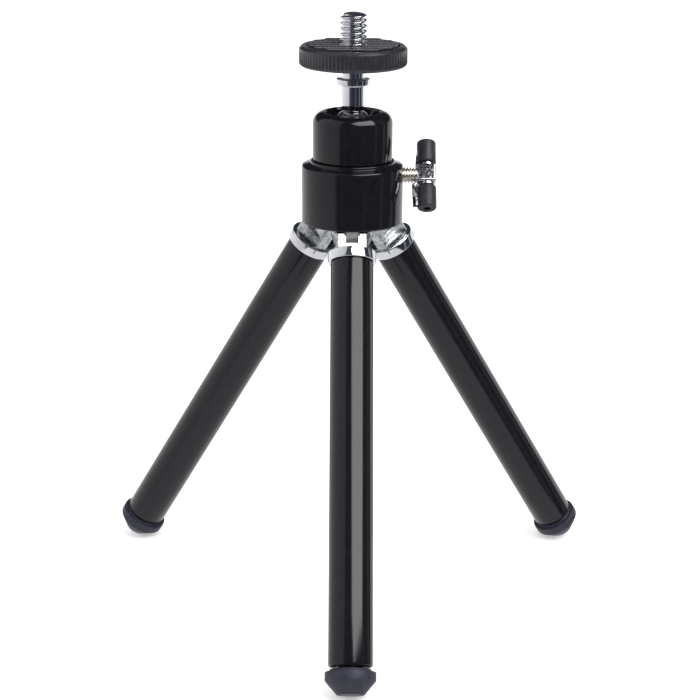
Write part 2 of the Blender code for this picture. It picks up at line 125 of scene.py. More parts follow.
HEAD = head_place()
HANDLE = handle_place()
LEG = {name: leg_place(name) for name in LEGS}


def extent(node, place=HEAD):
    """Lowest and highest corner of a CAD node along a place's axes, in millimetres."""
    to_place = place.inverted()
    points = np.array([to_place @ v.co for v in frame["nodes"][node].data.vertices]) / MM
    return Vector(points.min(0)), Vector(points.max(0))


# ---------------------------------------------------------------- mesh tools


def corner(before, point, after, round_r, steps):
    """Points of the arc that rounds one corner of an outline."""
    to_before = (before - point).normalized()
    to_after = (after - point).normalized()
    half = to_before.angle(to_after) / 2
    if half > math.pi / 2 - 0.01:
        return [point]
    centre = point + (to_before + to_after).normalized() * (round_r / math.sin(half))
    start = point + to_before * (round_r / math.tan(half)) - centre
    end = point + to_after * (round_r / math.tan(half)) - centre
    turn = start.angle_signed(end)
    return [centre + Matrix.Rotation(-turn * i / steps, 2) @ start for i in range(steps + 1)]


def rounded(outline, steps=CORNER_STEPS):
    """An outline whose points may hold a third value, the radius that rounds that corner."""
    points = []
    count = len(outline)
    for i, given in enumerate(outline):
        point = Vector(given[:2])
        if len(given) < 3:
            points.append(point)
            continue
        before, after = Vector(outline[i - 1][:2]), Vector(outline[(i + 1) % count][:2])
        points += corner(before, point, after, given[2], steps)
    return points


def arc(centre, arc_r, start, end, steps):
    """Points on an arc, from start to end in degrees from the outward side."""
    angles = [math.radians(start + (end - start) * i / steps) for i in range(steps + 1)]
    return [(centre[0] + arc_r * math.cos(a), centre[1] + arc_r * math.sin(a)) for a in angles]


def between(top, bottom, row_r, count):
    """The points that split a straight side in equal lengths, without its ends."""
    return [(row_r, top + (bottom - top) * i / count) for i in range(1, count)]


def even_rows(top, bottom, row_r, spacing):
    """Points down a straight side, evenly spaced, between its two ends."""
    count = max(1, round((top - bottom) / spacing))
    return [(row_r, top + (bottom - top) * i / count) for i in range(count + 1)]


def object_from(bm, name, scale=MM):
    """Turns a bmesh in millimetres into a smooth-shaded object in metres."""
    bmesh.ops.scale(bm, vec=(scale,) * 3, verts=bm.verts)
    bmesh.ops.recalc_face_normals(bm, faces=bm.faces)
    mesh = bpy.data.meshes.new(name)
    bm.to_mesh(mesh)
    bm.free()
    obj = bpy.data.objects.new(name, mesh)
    bpy.context.scene.collection.objects.link(obj)
    smooth(obj)
    return obj


def smooth(obj, angle=32):
    obj.data.shade_smooth()
    obj.data.set_sharp_from_angle(angle=math.radians(angle))


def turned(name, outline, steps=FINE, carve=None):
    """Spins an outline of (radius, height) round Z. carve gives a point its radius from its angle."""
    points = rounded(outline)
    bm = bmesh.new()
    verts = [bm.verts.new((p[0], 0.0, p[1])) for p in points]
    edges = [bm.edges.new(pair) for pair in zip(verts, verts[1:])]
    if points[0][0] > 0 and points[-1][0] > 0:
        edges.append(bm.edges.new((verts[-1], verts[0])))
    bmesh.ops.spin(
        bm, geom=verts + edges, cent=(0, 0, 0), axis=(0, 0, 1), angle=2 * math.pi, steps=steps
    )
    bmesh.ops.remove_doubles(bm, verts=bm.verts, dist=1e-4)
    if carve:
        for v in bm.verts:
            old_r = math.hypot(v.co.x, v.co.y)
            if old_r > 0:
                new_r = carve(old_r, math.atan2(v.co.y, v.co.x), v.co.z)
                v.co.x *= new_r / old_r
                v.co.y *= new_r / old_r
    return object_from(bm, name)


def block(name, low, high, turn=None):
    """A box between two corners, perhaps turned by a matrix."""
    bm = bmesh.new()
    bmesh.ops.create_cube(bm, size=1.0)
    low, high = Vector(low), Vector(high)
    bmesh.ops.scale(bm, vec=high - low, verts=bm.verts)
    bmesh.ops.translate(bm, vec=(low + high) / 2, verts=bm.verts)
    if turn:
        bmesh.ops.transform(bm, matrix=turn, verts=bm.verts)
    return object_from(bm, name)


def extruded(name, outline, low, high, turn=None):
    """An outline in the YZ plane, extruded along X from low to high."""
    bm = bmesh.new()
    face = bm.faces.new([bm.verts.new((low, *p)) for p in rounded(outline)])
    grown = bmesh.ops.extrude_face_region(bm, geom=[face])["geom"]
    moved = [v for v in grown if isinstance(v, bmesh.types.BMVert)]
    bmesh.ops.translate(bm, verts=moved, vec=(high - low, 0, 0))
    if turn:
        bmesh.ops.transform(bm, matrix=turn, verts=bm.verts)
    return object_from(bm, name)


def bar(name, bar_r, low, high, axis="Z", steps=SMALL):
    """A plain round bar between two points of one axis, for joining to or cutting from a piece."""
    obj = turned(name, [(0, high), (bar_r, high), (bar_r, low), (0, low)], steps)
    turn = {"X": Matrix.Rotation(math.pi / 2, 4, "Y"), "Y": Matrix.Rotation(-math.pi / 2, 4, "X")}
    obj.data.transform(turn.get(axis, Matrix.Identity(4)))
    return obj


def baked(obj):
    """Applies an object's modifiers."""
    graph = bpy.context.evaluated_depsgraph_get()
    graph.update()
    mesh = bpy.data.meshes.new_from_object(obj.evaluated_get(graph))
    obj.modifiers.clear()
    obj.data = mesh
    return obj


def combined(target, operation, *helpers):
    """Joins helpers to a piece, or cuts them from it, and removes them."""
    for helper in helpers:
        step = target.modifiers.new(helper.name, "BOOLEAN")
        step.operation = operation
        step.object = helper
    baked(target)
    for helper in helpers:
        bpy.data.objects.remove(helper)
    return target


def edged(obj, width, angle=35):
    """Rounds the sharp edges of a piece made with cuts."""
    bm = bmesh.new()
    bm.from_mesh(obj.data)
    bmesh.ops.remove_doubles(bm, verts=bm.verts, dist=0.02 * MM)
    bmesh.ops.dissolve_degenerate(bm, edges=bm.edges, dist=0.02 * MM)
    bmesh.ops.dissolve_limit(bm, angle_limit=math.radians(0.6), verts=bm.verts, edges=bm.edges)
    bm.to_mesh(obj.data)
    bm.free()
    step = obj.modifiers.new("edges", "BEVEL")
    step.width = width * MM
    step.segments = 2
    step.limit_method = "ANGLE"
    step.angle_limit = math.radians(angle)
    step.harden_normals = True
    return baked(obj)


def laid(obj, place, body, look, slot, *nodes):
    """Puts a finished piece in its place, on its body, in the stead of CAD nodes."""
    obj.data.transform(place)
    obj.data.materials.clear()
    obj.data.materials.append(look)
    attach(obj, body)
    if nodes:
        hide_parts(*nodes)
    return obj


# ---------------------------------------------------------------- materials


class Nodes:
    """Builds the node tree of one material."""

    def __init__(self, name):
        self.material = bpy.data.materials.new(name)
        self.material.use_nodes = True
        self.tree = self.material.node_tree
        self.shader = self.tree.nodes["Principled BSDF"]
        self.coordinates = self.add("ShaderNodeTexCoord").outputs["Object"]

    def add(self, kind, **settings):
        node = self.tree.nodes.new(kind)
        for key, value in settings.items():
            setattr(node, key, value)
        return node

    def link(self, output, node, socket):
        self.tree.links.new(output, node.inputs[socket])

    def noise(self, size, stretch=(1, 1, 1), detail=3.0, roughness=0.55):
        """Noise whose features are about size millimetres, drawn out along an axis by stretch."""
        mapping = self.add("ShaderNodeMapping")
        mapping.inputs["Scale"].default_value = [1 / (size * MM * s) for s in stretch]
        self.link(self.coordinates, mapping, "Vector")
        noise = self.add("ShaderNodeTexNoise")
        noise.inputs["Scale"].default_value = 1.0
        noise.inputs["Detail"].default_value = detail
        noise.inputs["Roughness"].default_value = roughness
        self.link(mapping.outputs["Vector"], noise, "Vector")
        return noise.outputs["Fac"]

    def ranged(self, value, low, high, source_low=0.3, source_high=0.7):
        node = self.add("ShaderNodeMapRange")
        for socket, number in (
            ("From Min", source_low), ("From Max", source_high), ("To Min", low), ("To Max", high)
        ):
            node.inputs[socket].default_value = number
        self.link(value, node, "Value")
        return node.outputs["Result"]

    def colour(self, value, first, second):
        ramp = self.add("ShaderNodeValToRGB")
        ramp.color_ramp.elements[0].position = 0.30
        ramp.color_ramp.elements[0].color = (*first, 1)
        ramp.color_ramp.elements[1].position = 0.70
        ramp.color_ramp.elements[1].color = (*second, 1)
        self.link(value, ramp, "Fac")
        self.link(ramp.outputs["Color"], self.shader, "Base Color")

    def bump(self, *layers):
        """Layers of (height, depth in millimetres), one on the other."""
        normal = None
        for value, depth in layers:
            node = self.add("ShaderNodeBump")
            node.inputs["Distance"].default_value = depth * MM
            self.link(value, node, "Height")
            if normal:
                self.link(normal, node, "Normal")
            normal = node.outputs["Normal"]
        self.link(normal, self.shader, "Normal")

    def set(self, **numbers):
        for socket, number in numbers.items():
            self.shader.inputs[socket.replace("_", " ")].default_value = number


def metal(name, first, second, smooth_r, rough_r, grain, stretch=(1, 1, 1), depth=0.0015, dimple=2.2,
          cloud=3.0, metallic=1.0):
    """Plated or bare metal: faint cloudiness, wiping marks and a slightly uneven surface."""
    nodes = Nodes(name)
    nodes.set(Metallic=metallic)
    nodes.colour(nodes.noise(cloud), first, second)
    marks = nodes.noise(grain, stretch, detail=5.0, roughness=0.7)
    nodes.link(nodes.ranged(marks, smooth_r, rough_r), nodes.shader, "Roughness")
    nodes.bump((nodes.noise(dimple, detail=1.0), depth), (marks, min(depth, 0.0015) * 0.25))
    return nodes.material


def black(name, first, second, smooth_r, rough_r, peel, peel_depth, specular=0.5, grain=0.12,
          grain_depth=0.0):
    """Black plastic, enamel or rubber: specks in its colour, uneven gloss, peel and grain."""
    nodes = Nodes(name)
    nodes.set(Specular_IOR_Level=specular)
    nodes.colour(nodes.noise(1.4, detail=6.0, roughness=0.7), first, second)
    nodes.link(nodes.ranged(nodes.noise(5.0, detail=4.0), smooth_r, rough_r), nodes.shader, "Roughness")
    layers = [(nodes.noise(peel, detail=2.0), peel_depth)]
    if grain_depth:
        layers.append((nodes.noise(grain, detail=4.0, roughness=0.6), grain_depth))
    nodes.bump(*layers)
    return nodes.material


def ribbed_rubber():
    """Black rubber painted paler towards the crests of its ridges, a painted highlight along each crest.
    """
    nodes = Nodes("ribbed_rubber")
    split = nodes.add("ShaderNodeSeparateXYZ")
    nodes.link(nodes.coordinates, split, "Vector")
    crest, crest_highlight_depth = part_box("platform_pad")[1].z, 0.22 * MM
    # painted highlight: the colour goes from near-black in the valleys to paler grey over the top 0.22 mm
    # of each ridge
    painted_crest_highlight = nodes.ranged(split.outputs["Z"], 0.3, 0.7, crest - crest_highlight_depth, crest)
    nodes.colour(painted_crest_highlight, (0.006, 0.006, 0.008), (0.085, 0.085, 0.092))
    nodes.link(nodes.ranged(nodes.noise(2.0, detail=4.0), 0.22, 0.34), nodes.shader, "Roughness")
    nodes.bump((nodes.noise(0.9, detail=2.0), 0.0015), (nodes.noise(0.1), 0.001))
    return nodes.material


def make_looks():
    return {
        "chrome": metal("chrome_plate", (0.72, 0.73, 0.76), (0.80, 0.80, 0.82), 0.035, 0.10, 0.5,
                        depth=0.0012),
        "cast": metal("plated_casting", (0.48, 0.49, 0.50), (0.76, 0.77, 0.78), 0.06, 0.16, 0.35,
                      depth=0.028, dimple=0.8, cloud=0.9),
        "fork": metal("plated_fork_casting", (0.26, 0.27, 0.28), (0.64, 0.65, 0.66), 0.16, 0.30, 0.35,
                      depth=0.034, dimple=0.8, cloud=0.9),
        "polished": metal("polished_casting", (0.66, 0.67, 0.69), (0.80, 0.80, 0.82), 0.06, 0.13, 0.4,
                          depth=0.014, dimple=1.2),
        "raw_cast": metal("plated_rough_casting", (0.74, 0.74, 0.75), (0.84, 0.84, 0.84), 0.42, 0.56, 0.3,
                          depth=0.05, dimple=0.7, metallic=0.55),
        "thread": metal("chrome_thread", (0.74, 0.75, 0.78), (0.84, 0.84, 0.86), 0.13, 0.22, 0.4,
                        depth=0.004, dimple=0.7),
        "nickel": metal("nickel_plate", (0.72, 0.67, 0.61), (0.83, 0.79, 0.74), 0.26, 0.38, 0.3),
        "steel": metal("bare_steel", (0.42, 0.42, 0.43), (0.56, 0.56, 0.57), 0.20, 0.38, 0.25, (1, 1, 8)),
        "gloss": black("moulded_gloss", (0.0045, 0.0045, 0.006), (0.0080, 0.0077, 0.0100), 0.08, 0.15,
                       1.1, 0.0022, specular=0.36),
        "enamel": black("tube_enamel", (0.0050, 0.0050, 0.0065), (0.0090, 0.0087, 0.0110), 0.09, 0.16,
                        0.9, 0.0020, specular=0.36),
        "knurl": black("knurled_plastic", (0.012, 0.012, 0.0150), (0.023, 0.0228, 0.028), 0.26, 0.42,
                       0.8, 0.004, grain=0.10, grain_depth=0.004),
        "grip": black("sleeve_plastic", (0.016, 0.0155, 0.020), (0.033, 0.0315, 0.040), 0.30, 0.46,
                      0.9, 0.006, specular=0.24, grain=0.12, grain_depth=0.003),
        "pad": ribbed_rubber(),
        "foot": black("foot_rubber", (0.017, 0.018, 0.027), (0.032, 0.033, 0.048), 0.42, 0.60,
                      0.7, 0.006, specular=0.28, grain=0.10, grain_depth=0.006),
        "nylon": black("natural_nylon", (0.52, 0.50, 0.43), (0.64, 0.62, 0.56), 0.40, 0.55,
                       0.8, 0.004, grain=0.2, grain_depth=0.002),
    }


LOOKS = make_looks()


# ---------------------------------------------------------------- the head


def add_housing():
    low, high = extent("lower_housing")
    outer = high.x
    rim, collar_bottom = low.z, extent("socket_collar")[0].z
    bead_top, bead_r = collar_bottom - 0.15, outer - 2.05
    slope_top, slope_foot = bead_top - 0.65, bead_top - 1.2
    spigot_r, bore_r, spigot_top = 7.7, 5.9, high.z
    web_bottom, web_top, screw_hole_r = 6.1, 8.3, 1.6
    skirt_r = outer - 1.35
    shell = turned("lower_housing_shell", [
        (skirt_r, rim, 0.25), (outer, rim, 0.45), (outer, slope_foot, 0.5), (bead_r, slope_top, 0.2),
        (bead_r, bead_top, 0.25), (spigot_r, bead_top), (spigot_r, spigot_top, 0.2),
        (bore_r, spigot_top, 0.2), (bore_r, web_top), (screw_hole_r, web_top),
        (screw_hole_r, web_bottom), (skirt_r, web_bottom, 0.4),
    ])
    lock_r = extent("lock_screw")[1].y
    lock_z = middle("lock_screw").z / MM - HEAD.translation.z / MM
    mouth = bar("lock_hole", lock_r + 0.2, bore_r - 2, outer + 2, "X")
    mouth.data.transform(Matrix.Translation((0, 0, lock_z * MM)))
    combined(shell, "DIFFERENCE", mouth)
    smooth(shell)
    laid(shell, HEAD, "head", LOOKS["gloss"], "gloss_black_plastic", "lower_housing")


def add_collar():
    low, high = extent("socket_collar")
    outer, top, bottom = high.x, high.z, low.z
    ball_r, ball_z = extent("ball")[1].y, middle("ball").z / MM - HEAD.translation.z / MM
    cavity_r = ball_r + 0.2
    lip = 2.35  # how far the spherical seat climbs over the ball's middle
    angles = (math.degrees(math.asin(lip / cavity_r)), math.degrees(math.asin(0.2 / cavity_r)))
    spigot_r, spigot_top, mouth_r = 8.0, 20.3, 6.75
    collar = turned("socket_collar_shell", [
        (spigot_r, bottom), (outer, bottom, 0.3), (outer, top, 2.5), (mouth_r, top, 0.1),
        (mouth_r - 0.2, top - 0.5, 0.15), *arc((0, ball_z), cavity_r, *angles, 10),
        (cavity_r, spigot_top), (spigot_r, spigot_top),
    ])
    laid(collar, HEAD, "head", LOOKS["gloss"], "gloss_black_plastic", "socket_collar")


def add_hub():
    high = extent("leg_hub")[1]
    plate_r, top, bottom, hole_r = high.y, high.z, 3.1, 1.8
    pin_circle = (LEG["front"].translation - HEAD.translation).xy.length / MM
    lug_half = 1.45
    lug_r = plate_r - pin_circle - 0.1
    plate = [(hole_r, bottom), (plate_r, bottom), (plate_r, top), (hole_r, top)]
    hub = turned("leg_hub_casting", plate, MEDIUM)
    to_head = HEAD.inverted()
    lugs, holes = [], []
    for name in LEGS:
        outward = (to_head @ LEG[name].translation).xy.normalized()
        turn = Matrix.Rotation(math.atan2(outward.y, outward.x) + math.pi / 2, 4, "Z")
        outline = [(-pin_circle + lug_r, bottom + 1), (-pin_circle - lug_r, bottom + 1)]
        outline += arc((-pin_circle, 0), lug_r, 180, 360, 24)
        lugs.append(extruded(f"lug_{name}", outline, -lug_half, lug_half, turn))
        hole = bar(f"lug_hole_{name}", PIN_HOLE_R, -3, 3, "X")
        hole.data.transform(turn @ Matrix.Translation((0, -pin_circle * MM, 0)))
        holes.append(hole)
    combined(hub, "UNION", *lugs)
    combined(hub, "DIFFERENCE", *holes)
    edged(hub, 0.15)
    laid(hub, HEAD, "head", LOOKS["raw_cast"], "chrome", "leg_hub")


def add_hub_screw():
    low, high = extent("hub_screw")
    head_r, head_top, shank_r = high.x, 2.8, 1.4
    screw = turned("hub_cap_screw", [
        (0, low.z), (head_r, low.z, 0.35), (head_r, head_top, 0.1), (shank_r, head_top),
        (shank_r, high.z, 0.2), (0, high.z),
    ], MEDIUM)
    key_r, key_end = 1.15, low.z + 0.9
    key = turned("hex_socket", [(0, key_end), (key_r, key_end), (key_r, low.z - 1), (0, low.z - 1)], 6)
    combined(screw, "DIFFERENCE", key)
    edged(screw, 0.06)
    laid(screw, HEAD, "head", LOOKS["steel"], "steel", "hub_screw")


def add_clamp():
    """The hidden clamp: plunger and cupped seat keep the frame's shape in their real finishes."""
    for node, look in (("clamp_plunger", "steel"), ("ball_seat", "nylon")):
        obj = frame["nodes"][node]
        obj.data.materials.clear()
        obj.data.materials.append(LOOKS[look])


def add_ball():
    ball_r = extent("ball")[1].y
    ball_z = middle("ball").z / MM - HEAD.translation.z / MM
    hole_r = 1.8
    edge = math.degrees(math.acos(hole_r / ball_r))
    ball = turned("ball_sphere", [
        (0, 0.7), (hole_r, 0.7), *arc((0, 0), ball_r, edge, -89.9, 60), (0, -ball_r),
    ], MEDIUM)
    place = HEAD @ Matrix.Translation((0, 0, ball_z * MM))
    laid(ball, place, "ball", LOOKS["chrome"], "chrome", "ball")


# ---------------------------------------------------------------- the platform


def helix(crest_r, depth, pitch, top, bottom, lead_in, run_out=0.5):
    """How a shank's radius winds: flat crests and rounded roots, fading at both ends of the thread."""

    def carve(point_r, angle, height):
        if point_r < crest_r - 0.01 or height > top or height < bottom:
            return point_r
        phase = (height / pitch - angle / (2 * math.pi)) % 1.0
        crest = min(1.0, max(0.0, (0.5 + 0.62 * math.cos(2 * math.pi * phase))))
        fade = min(1.0, max(0.0, (height - bottom) / run_out))
        limit = crest_r - max(0.0, height - (top - lead_in)) * 0.95
        return min(limit, crest_r - depth * (1 - crest) * fade)

    return carve


def add_stud():
    """Stem, flange, neck and camera screw, turned from one piece."""
    high = extent("stud")[1]
    flange_r = high.x
    top, stem_r, neck_r, crest_r = high.z, 2.65, 2.55, 3.12
    ball_z = middle("ball").z / MM - HEAD.translation.z / MM
    ball_r = extent("ball")[1].y
    flange_bottom, flange_top = 33.4, 34.9
    disc_low, disc_high = extent("platform_disc")[0].z, extent("platform_pad")[1].z
    thread_bottom = disc_high - 0.2
    collar_r = 3.3  # a plain ring round the screw, in the pad's hole
    stem_foot = ball_z + math.sqrt(ball_r**2 - stem_r**2) + 0.3
    outline = [
        (0, top), (1.2, top - 0.05), (2.15, top - 0.25, 0.1),
        *even_rows(top - 0.6, thread_bottom, crest_r, SCREW_PITCH / 28),
        (collar_r, thread_bottom), (collar_r, disc_low + 0.8), (neck_r, disc_low + 0.8),
        (neck_r, flange_top, 0.15), (flange_r, flange_top, 0.22), (flange_r, flange_bottom, 0.22),
        (stem_r, flange_bottom, 0.35), (stem_r, stem_foot, 0.2), (1.6, ball_z + ball_r),
        (1.6, ball_z + 1.0), (0, ball_z + 1.0),
    ]
    stud = turned(
        "camera_stud", outline, MEDIUM,
        helix(crest_r, SCREW_DEPTH, SCREW_PITCH, top, thread_bottom, 0.75, run_out=0.3),
    )
    smooth(stud, 70)
    laid(stud, HEAD, "platform", LOOKS["chrome"], "chrome", "stud")
    stud.data.materials.append(LOOKS["thread"])  # duller, above the disc
    for face in stud.data.polygons:
        if face.center.z > HEAD.translation.z + disc_low * MM:
            face.material_index = 1


def add_disc():
    """The disc: fine upright flutes round its side, a rounded lower edge and a plain raised rim."""
    low, high = extent("platform_disc")
    outer, bottom, top = high.x, low.z, high.z
    recess_r, recess_z = outer - 1.7, bottom + 3.2
    rim_z, shoulder_z, inner_z = top - 0.45, top + 0.1, top + 0.2  # a chamfer, then a gentle slope
    flute_low, flute_high = bottom + 0.55, rim_z - 0.35

    def carve(point_r, angle, height):
        if point_r < outer - 0.95 or height > flute_high + 0.25:
            return point_r
        groove = (0.5 - 0.5 * math.cos(FLUTES * angle)) ** 0.6
        fade = min(1.0, max(0.0, (height - bottom) / 0.5), max(0.0, (flute_high + 0.25 - height) / 0.2))
        return point_r - FLUTE_DEPTH * groove * min(1.0, fade)

    disc = turned("knurled_disc", [
        (SCREW_HOLE_R, bottom, 0.2), (outer - 1.0, bottom),
        *arc((outer - 0.9, bottom + 0.9), 0.9, -90, 0, 8),
        *even_rows(flute_low + 0.5, flute_high + 0.25, outer, 0.4)[1:],
        (outer - 0.03, rim_z, 0.1), (outer - 0.65, shoulder_z, 0.2), (recess_r, inner_z, 0.1),
        (recess_r, top - 0.2, 0.05),
        (recess_r, recess_z), (SCREW_HOLE_R, recess_z),
    ], FLUTES * 10, carve)
    laid(disc, HEAD, "platform", LOOKS["knurl"], "black_plastic", "platform_disc")


def add_pad():
    """The rubber pad, with straight rounded ridges across its top."""
    low, high = extent("platform_pad")
    outer, top, bottom = high.x, high.z, low.z
    valley = top - PAD_RIDGE_HEIGHT
    profile = [(-outer - 1, bottom)]
    count = int(outer // PAD_RIDGE_PITCH) + 1
    wide, narrow = 0.62, 0.42  # half a ridge at its foot and at its crest
    for i in range(-count, count + 1):
        y = i * PAD_RIDGE_PITCH
        profile += [
            (y - wide, valley, 0.18), (y - narrow, top, 0.27),
            (y + narrow, top, 0.27), (y + wide, valley, 0.18),
        ]
    profile.append((outer + 1, bottom))
    pad = extruded("ribbed_pad", profile, -outer - 1, outer + 1)
    ring = turned("pad_ring", [
        (SCREW_HOLE_R, bottom), (SCREW_HOLE_R, top + 1), (outer, top + 1), (outer, bottom),
    ], MEDIUM)
    combined(pad, "INTERSECT", ring)
    edged(pad, 0.10)
    laid(pad, HEAD, "platform", LOOKS["pad"], "rubber_pad", "platform_pad")


# ---------------------------------------------------------------- the lock screw and its handle


def add_lock_screw():
    low, high = extent("lock_screw")
    crest_r = high.y
    middle_z = (low.z + high.z) / 2 * MM
    place = HEAD @ Matrix.Translation((0, 0, middle_z)) @ Matrix.Rotation(math.pi / 2, 4, "Y")
    seated = high.x - 1.0  # the plain end in the handle's socket
    cone = crest_r - 0.4
    outline = [
        (0, high.x), (crest_r - 0.3, high.x, 0.1), (crest_r - 0.3, seated),
        *even_rows(seated - 0.3, low.x + cone, crest_r, LOCK_PITCH / 20), (0.4, low.x), (0, low.x),
    ]
    carve = helix(crest_r, LOCK_DEPTH, LOCK_PITCH, seated, low.x + cone, 0.2)
    screw = turned("lock_screw_thread", outline, THREAD, carve)
    smooth(screw, 70)
    laid(screw, place, "lock_screw", LOOKS["nickel"], "nickel", "lock_screw")


def fin(name, root, end, reach):
    """A blade from the hub along the bar, flat beside the hub and ground towards its free edge."""
    half, ridge, ground, steps = 0.55, reach + 1.0, 0.80, 12
    bm = bmesh.new()
    rows = []
    for i in range(steps + 1):
        along = i / steps
        edge = -half + ground * min(1.0, max(0.0, along - 0.12) * 1.6) ** 0.8
        free = reach + 0.35 * along
        z = root + (end - root) * along
        shape = ((free, edge), (ridge, -half), (0, -half), (0, half), (free, half))
        rows.append([bm.verts.new((x, y, z)) for x, y in shape])
    for here, there in zip(rows, rows[1:]):
        for j in range(5):
            k = (j + 1) % 5
            bm.faces.new((here[j], here[k], there[k], there[j]))
    bm.faces.new(rows[0])
    bm.faces.new(rows[-1])
    return object_from(bm, name)


def softened_block(name, half, width, draft):
    """A box with rounded edges, thinner across Y towards its top by the casting's draft."""
    bm = bmesh.new()
    bmesh.ops.create_cube(bm, size=2.0)
    for v in bm.verts:
        across = half[1] * (draft if v.co.z > 0 else 1.0)
        v.co = (v.co.x * half[0], v.co.y * across, v.co.z * half[2])
    bmesh.ops.bevel(
        bm, geom=bm.edges[:], offset=width, segments=4, profile=0.5, affect="EDGES", clamp_overlap=True
    )
    return object_from(bm, name)


def add_handle():
    """A T-shaped hub and bar, with a fin beside each grip sleeve."""
    low, high = extent("lock_handle", HANDLE)
    handle = softened_block("handle_casting", (2.2, 2.2, 2.3), 0.5, 0.90)
    bar_r, neck_r, neck_end, socket_r = 1.2, 1.9, 2.95, 1.78
    neck = turned("neck", [
        (0, high.z), (bar_r, high.z, 0.2), (bar_r, neck_end), (neck_r, neck_end - 0.1, 0.2),
        (neck_r, 2.4), (neck_r, -2.4), (neck_r, 0.1 - neck_end, 0.2), (bar_r, -neck_end),
        (bar_r, low.z, 0.2), (0, low.z),
    ], SMALL)
    fins = [
        fin("fin_upper", neck_r, FIN_ENDS["upper"], -2.7),
        fin("fin_lower", -neck_r, -FIN_ENDS["lower"], low.x),
    ]
    combined(handle, "UNION", neck, *fins)
    combined(handle, "DIFFERENCE", bar("socket", socket_r, -4.4, -0.9, "X"))
    smooth(handle, 40)
    flatter = handle.modifiers.new("flat_faces", "WEIGHTED_NORMAL")
    flatter.keep_sharp = True
    baked(handle)
    laid(handle, HANDLE, "lock_handle", LOOKS["cast"], "chrome", "lock_handle")


def add_grips():
    """Two moulded sleeves on the bar, flat-ended with a small hole, slotted beside the fins."""
    for name, side in (("upper", 1), ("lower", -1)):
        low, high = extent(f"grip_{name}", HANDLE)
        start, end = (low.z, high.z) if side > 0 else (-high.z, -low.z)
        outer, hole_r = high.x, 0.9
        flip = Matrix.Identity(4) if side > 0 else Matrix.Rotation(math.pi, 4, "X")
        sleeve = turned(f"grip_sleeve_{name}", [
            (SLEEVE_BORE, start, 0.1), (outer, start, 0.3), (outer, end, 0.5), (hole_r, end, 0.15),
            (hole_r, end - 0.4), (SLEEVE_BORE, end - 0.4),
        ], MEDIUM)
        slot = block("slot", (-4, -0.8, start - 1), (0, 0.8, FIN_ENDS[name] + 0.25))
        combined(sleeve, "DIFFERENCE", slot)
        edged(sleeve, 0.08, angle=45)
        laid(sleeve, HANDLE @ flip, "lock_handle", LOOKS["grip"], "black_plastic", f"grip_{name}")


# ---------------------------------------------------------------- the legs


def fork_meshes():
    """A chrome fork and its band, made once and copied for the three legs."""
    place = LEG["front"]
    low, high = extent("leg_fork_front", place)
    band_r, plug_end = high.x, low.z
    splay = math.acos(max(-1.0, min(1.0, (place.to_3x3() @ Vector((0, 0, 1))).z)))
    tube = extent("outer_tube_front", place)[1]
    fork_r, band_bottom = tube.x, tube.z + LEG_SPLIT
    band_top = band_bottom + 2.4
    seat_r = fork_r - 0.3
    fork = turned("leg_fork", [
        (0, 0.6), (fork_r, 0.6), (fork_r, band_top), (seat_r, band_top), (seat_r, band_bottom),
        (fork_r - 0.7, band_bottom), (fork_r - 0.7, plug_end, 0.3), (0, plug_end),
    ], MEDIUM)
    band = turned("leg_band", [
        (seat_r + 0.02, band_top), (band_r, band_top, 0.22), (band_r, band_bottom, 0.22),
        (seat_r + 0.02, band_bottom),
    ], FINE)
    rim = extent("lower_housing")[0].z
    lift = rim - 0.3
    tilt = Matrix.Rotation(splay, 4, "Y")
    stop = block("stop", (-15, -15, lift), (15, 15, lift + 10), tilt)
    knuckles, scoops = [], []
    ear_edge, knuckle_r, front_x, slot_half = 3.6, 2.1, 3.8, 1.8
    waist, scoop_r = 3.7, 5.6
    for side in (-1, 1):
        ends = sorted((side * 1.6, side * ear_edge))
        knuckles.append(bar(f"knuckle_{side}", knuckle_r, *ends, axis="Y"))
        outside = side * 10
        scoop = [(outside, band_top), (side * (fork_r - 0.1), band_top), (side * waist, band_top + 0.6)]
        scoop += [
            (side * (waist + scoop_r * (1 - math.cos(math.radians(a)))),
             band_top + 0.9 + scoop_r * math.sin(math.radians(a)))
            for a in range(0, 61, 5)
        ]
        scoop.append((outside, scoop[-1][1]))
        scoops.append(extruded(f"scoop_{side}", scoop, -10, 10))
    combined(fork, "DIFFERENCE", stop)
    combined(fork, "UNION", *knuckles)
    slot = block("slot", (-15, -slot_half, band_top + 0.4), (15, slot_half, 10))
    front = block("front", (front_x, -10, band_top + 0.05), (10, 10, 10))
    combined(fork, "DIFFERENCE", slot, front, *scoops, bar("pin_hole", PIN_HOLE_R, -9, 9, "Y"))
    edged(fork, FORK_EDGE)
    return fork, band


def copied(obj, name):
    """A separate copy of a piece, with its own mesh."""
    twin = bpy.data.objects.new(name, obj.data.copy())
    bpy.context.scene.collection.objects.link(twin)
    return twin


